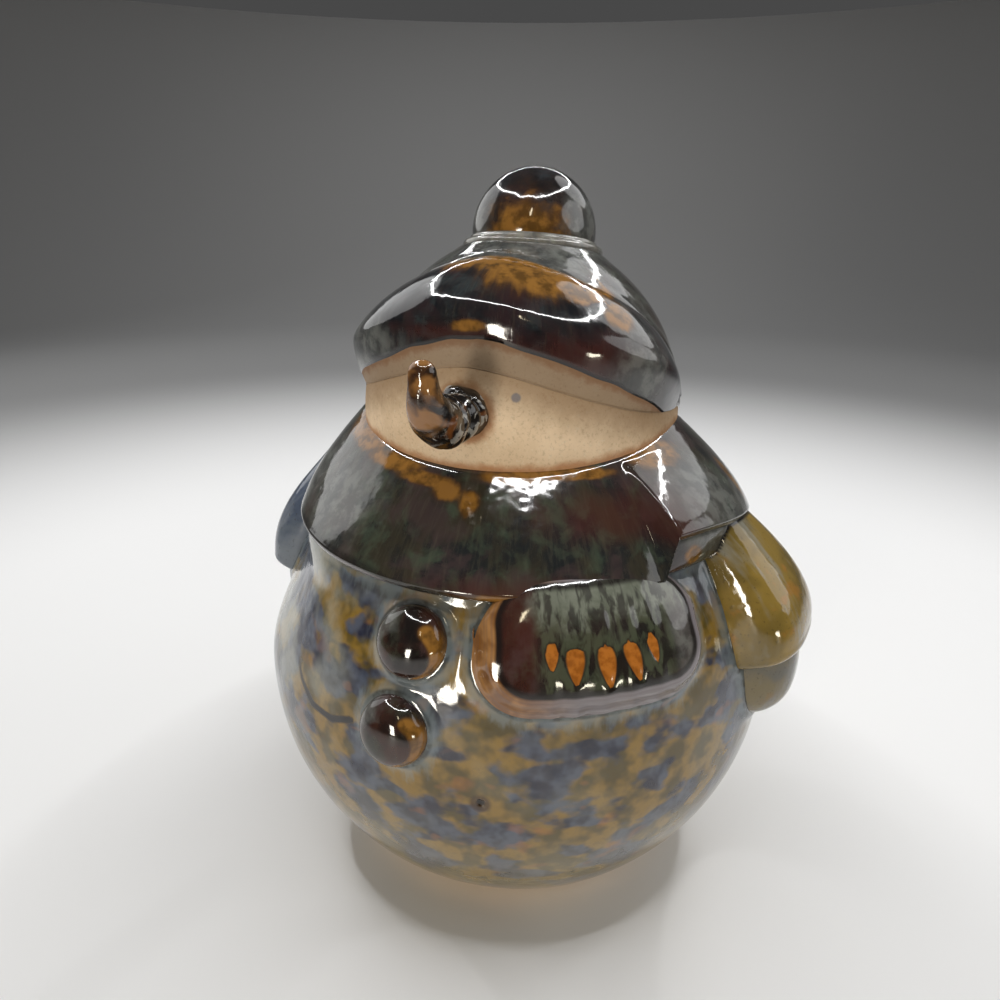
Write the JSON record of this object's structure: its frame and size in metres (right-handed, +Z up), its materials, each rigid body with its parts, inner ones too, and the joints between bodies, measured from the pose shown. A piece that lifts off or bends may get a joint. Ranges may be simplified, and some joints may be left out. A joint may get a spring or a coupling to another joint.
{
  "type": "snowman figurine",
  "caption": "Hollow glazed stoneware snowman with a bobble hat, a curled carrot nose, a wrapped scarf with a fringed end, domed buttons and mittened arms, standing on a foot ring.",
  "frame": {"origin": "centre of the bounding box on the resting plane of the foot ring", "axes": "+Z up through the hat, -Y towards the figure's front (buttons), +X towards the figure's own left"},
  "size_m": [0.1138, 0.1075, 0.1359],
  "materials": {
    "belly_glaze": "gloss, mottled slate blue and ochre",
    "dark_glaze": "gloss, near black, breaking to orange brown where thin",
    "sleeve_glaze": "gloss, olive ochre",
    "nose_glaze": "gloss, amber over dark brown",
    "bisque": "matt bare clay"
  },
  "bodies": {
    "root": {"belly_shell": "belly_glaze", "foot_ring": "bisque", "base_disc": "bisque", "face_shell": "bisque", "hat_crown": "dark_glaze", "hat_brim": "dark_glaze", "hat_bobble": "dark_glaze", "bobble_collar": "dark_glaze", "carrot_nose": "nose_glaze", "scarf_wrap": "dark_glaze", "scarf_tail": "dark_glaze", "scarf_end": "dark_glaze", "upper_button": "dark_glaze", "lower_button": "dark_glaze", "left_sleeve": "sleeve_glaze", "left_mitten": "sleeve_glaze", "right_sleeve": "sleeve_glaze", "right_mitten": "sleeve_glaze"}
  },
  "joints": []
}
